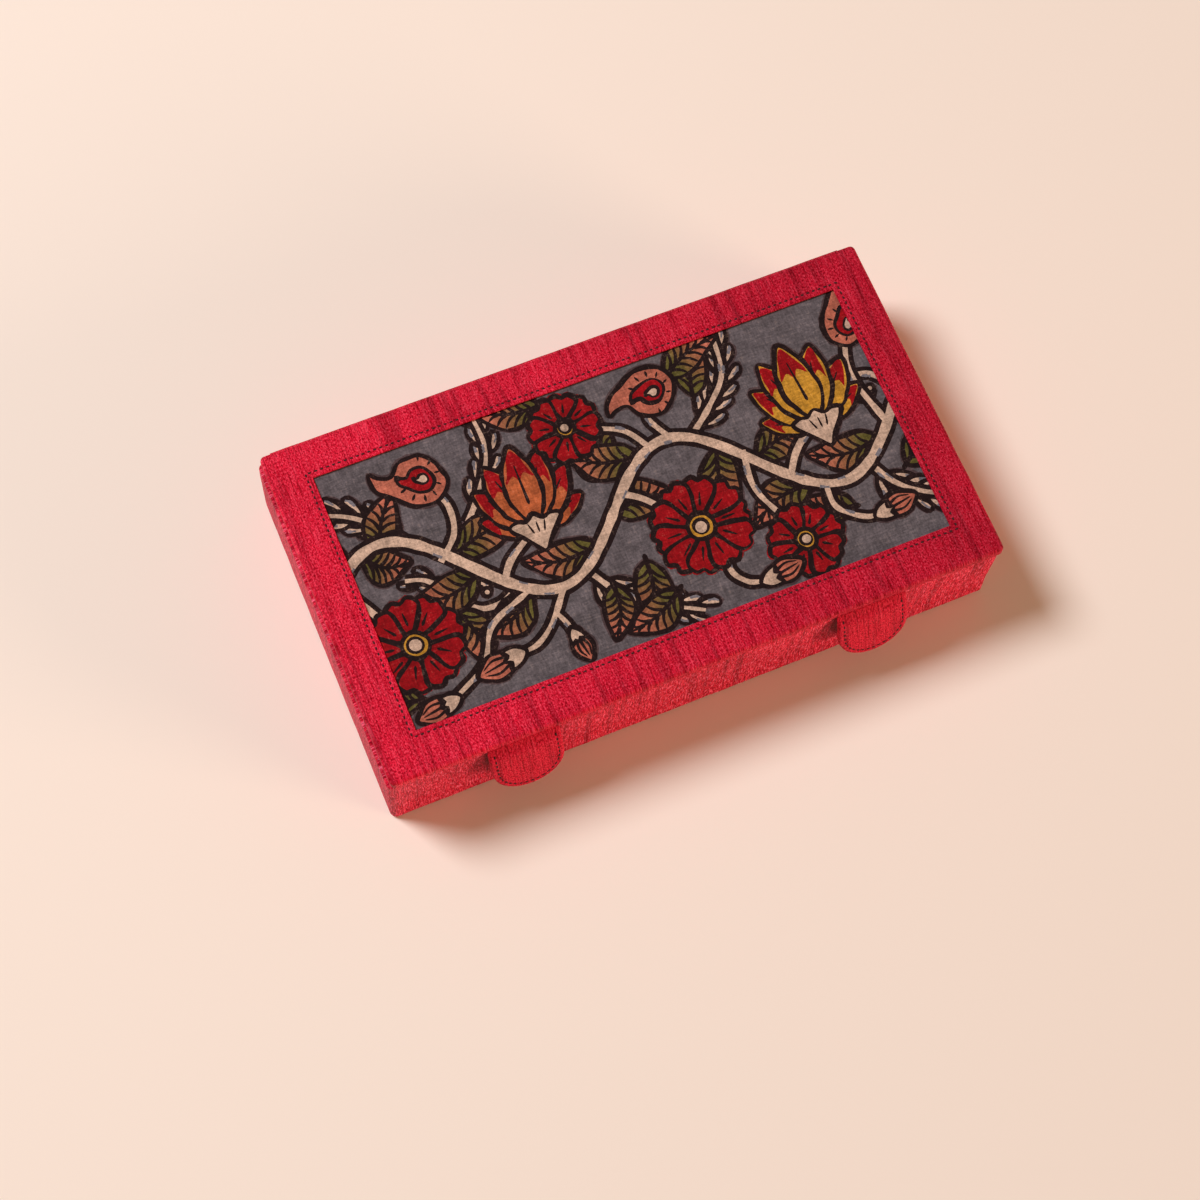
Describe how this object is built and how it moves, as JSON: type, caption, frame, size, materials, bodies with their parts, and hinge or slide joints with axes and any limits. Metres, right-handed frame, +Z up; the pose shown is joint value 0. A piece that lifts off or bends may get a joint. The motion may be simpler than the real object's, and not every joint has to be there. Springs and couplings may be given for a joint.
{
  "type": "jewelry box",
  "caption": "Flat rectangular silk-covered box with a framed painted panel in its hinged lid and half-round closing tabs at the front.",
  "frame": {"origin": "middle of the underside, on the surface that the box stands on", "axes": "+X along the long side, +Y towards the hinge, +Z up; the tabs are on the -Y side"},
  "size_m": [0.229, 0.1386, 0.0395],
  "materials": {
    "raw_silk": "slubby raw silk with a soft sheen",
    "painted_cotton": "matt cotton, painted by hand",
    "mdf_board": "plain fibreboard",
    "mill_board": "plain grey board",
    "lining_cotton": "matt plain-woven cotton",
    "wadding": "soft white wadding",
    "underside_paper": "matt embossed paper",
    "nickel_magnet": "nickel plate"
  },
  "bodies": {
    "base": {"underside_cover": "underside_paper", "bottom_board": "mdf_board", "front_wall_board": "mdf_board", "back_wall_board": "mdf_board", "left_wall_board": "mdf_board", "right_wall_board": "mdf_board", "wall_cover": "raw_silk", "front_lining": "lining_cotton", "back_lining": "lining_cotton", "left_lining": "lining_cotton", "right_lining": "lining_cotton", "floor_foam": "wadding", "floor_cloth": "lining_cotton", "wall_magnet_left": "nickel_magnet", "wall_magnet_right": "nickel_magnet", "hinge_cloth_wall": "raw_silk"},
    "lid": {"lid_board": "mill_board", "lid_wadding": "wadding", "painted_panel": "painted_cotton", "lid_cover": "raw_silk", "lid_lining": "lining_cotton", "hinge_cloth_lid": "raw_silk", "tab_tongue_left": "raw_silk", "tab_tongue_right": "raw_silk"},
    "tab_left": {"tab_left_face": "raw_silk", "tab_left_core": "mill_board", "tab_left_backing": "lining_cotton", "tab_left_magnet": "nickel_magnet"},
    "tab_right": {"tab_right_face": "raw_silk", "tab_right_core": "mill_board", "tab_right_backing": "lining_cotton", "tab_right_magnet": "nickel_magnet"}
  },
  "joints": [
    {"name": "lid_hinge", "type": "hinge", "parent": "base", "child": "lid", "pos_m": [0, 0.06435, 0.03495], "axis": [-1, 0, 0], "range_deg": [0, 180]},
    {"name": "left_tab_hinge", "type": "hinge", "parent": "lid", "child": "tab_left", "pos_m": [-0.066, -0.0643, 0.035], "axis": [-1, 0, 0], "range_deg": [-21.5, 95]},
    {"name": "right_tab_hinge", "type": "hinge", "parent": "lid", "child": "tab_right", "pos_m": [0.064, -0.0643, 0.035], "axis": [-1, 0, 0], "range_deg": [-21.5, 95]}
  ]
}
